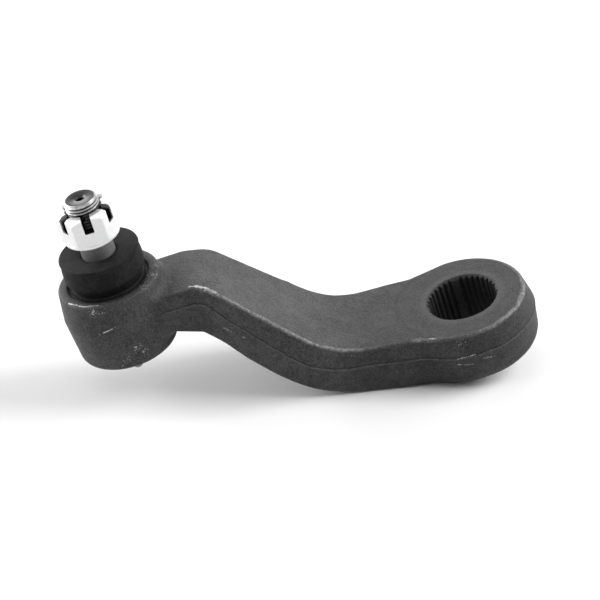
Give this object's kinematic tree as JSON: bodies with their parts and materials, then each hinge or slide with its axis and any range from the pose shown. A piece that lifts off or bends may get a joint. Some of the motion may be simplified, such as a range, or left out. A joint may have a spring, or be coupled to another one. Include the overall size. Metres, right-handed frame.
{
  "type": "pitman arm",
  "caption": "Forged steering arm, cranked between a serrated eye for the steering gear's shaft and a ball joint with dust boot, threaded stud and slotted nut.",
  "frame": {"origin": "centre of the serrated bore, in the plane of the eye's top face", "axes": "+Z runs along the serrated bore towards the stud's side; the ball joint lies towards -X; Y runs across the arm"},
  "size_m": [0.1944, 0.0608, 0.1339],
  "materials": {
    "forged_steel": "thin dark grey coat over a grained forging, worn bright on its edges",
    "stud_steel": "turned steel with a rolled thread",
    "zinc_plate": "bright zinc plate",
    "boot_rubber": "matt moulded rubber",
    "bearing_nylon": "plain nylon",
    "sintered_steel": "dull sintered steel",
    "spring_steel": "oiled spring steel",
    "cover_steel": "pressed steel with a thin dark coat",
    "fitting_zinc": "zinc plate",
    "check_ball_steel": "polished steel",
    "spring_wire": "drawn wire"
  },
  "bodies": {
    "arm": {"arm_forging": "forged_steel", "upper_bearing": "bearing_nylon", "preload_spring": "spring_steel", "cover_plate": "cover_steel", "grease_fitting": "fitting_zinc", "fitting_spring": "spring_wire"},
    "seat": {"lower_seat": "sintered_steel"},
    "boot": {"dust_boot": "boot_rubber"},
    "stud": {"ball_stud": "stud_steel", "castle_nut": "zinc_plate"},
    "check_ball": {"fitting_ball": "check_ball_steel"}
  },
  "joints": [
    {"name": "lean_direction", "type": "hinge", "parent": "arm", "child": "seat", "pos_m": [-0.1408, 0, 0.0525], "axis": [0.0384, 0, 0.9993], "continuous": true},
    {"name": "stud_lean", "type": "hinge", "parent": "seat", "child": "boot", "pos_m": [-0.1408, 0, 0.0525], "axis": [0, 1, 0], "range_deg": [-18, 18], "deforming": ["dust_boot"]},
    {"name": "stud_spin", "type": "hinge", "parent": "boot", "child": "stud", "pos_m": [-0.1408, 0, 0.0525], "axis": [0.0384, 0, 0.9993], "continuous": true},
    {"name": "check_ball_lift", "type": "slide", "parent": "arm", "child": "check_ball", "axis": [0.0384, 0, 0.9993], "range_m": [0, 0.0008], "stiffness_N_per_m": 20, "springref_m": -0.001, "deforming": ["fitting_spring"]}
  ]
}
